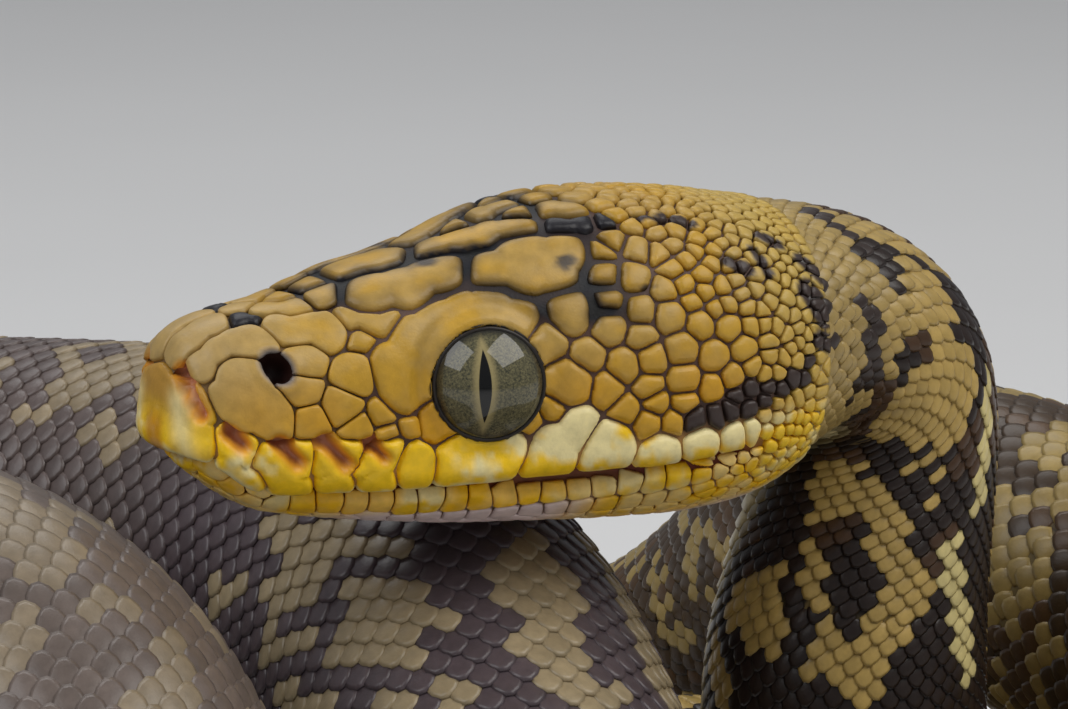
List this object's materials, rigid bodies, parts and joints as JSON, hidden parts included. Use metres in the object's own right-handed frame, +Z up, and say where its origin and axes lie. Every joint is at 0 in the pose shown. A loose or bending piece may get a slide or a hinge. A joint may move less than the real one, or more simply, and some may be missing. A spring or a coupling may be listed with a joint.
{
  "type": "coiled python snake",
  "caption": "Life-size still model of a young Timor python, loosely coiled on the floor with its head resting on its own coils.",
  "frame": {"origin": "on the floor, under the middle of the resting animal's outline", "axes": "+Z up from the floor; the animal looks towards -X and a little -Y"},
  "size_m": [0.2014, 0.209, 0.0822],
  "materials": {
    "head_skin": "satin yellow-brown shields with dark seams",
    "jaw_skin": "satin yellow and cream lip and chin shields",
    "body_skin": "satin scales, tan blotches in a dark brown net",
    "tail_skin": "satin scales, tan blotches in a dark brown net",
    "eye": "clear wet cornea over an olive iris with a slit pupil"
  },
  "bodies": {
    "root": {"head": "head_skin", "lower_jaw": "jaw_skin", "eye_left": "eye", "eye_right": "eye", "neck": "body_skin", "trunk_1": "body_skin", "trunk_2": "body_skin", "trunk_3": "body_skin", "trunk_4": "body_skin", "trunk_5": "body_skin", "trunk_6": "body_skin", "trunk_7": "body_skin", "trunk_8": "body_skin", "tail": "tail_skin"}
  },
  "joints": []
}
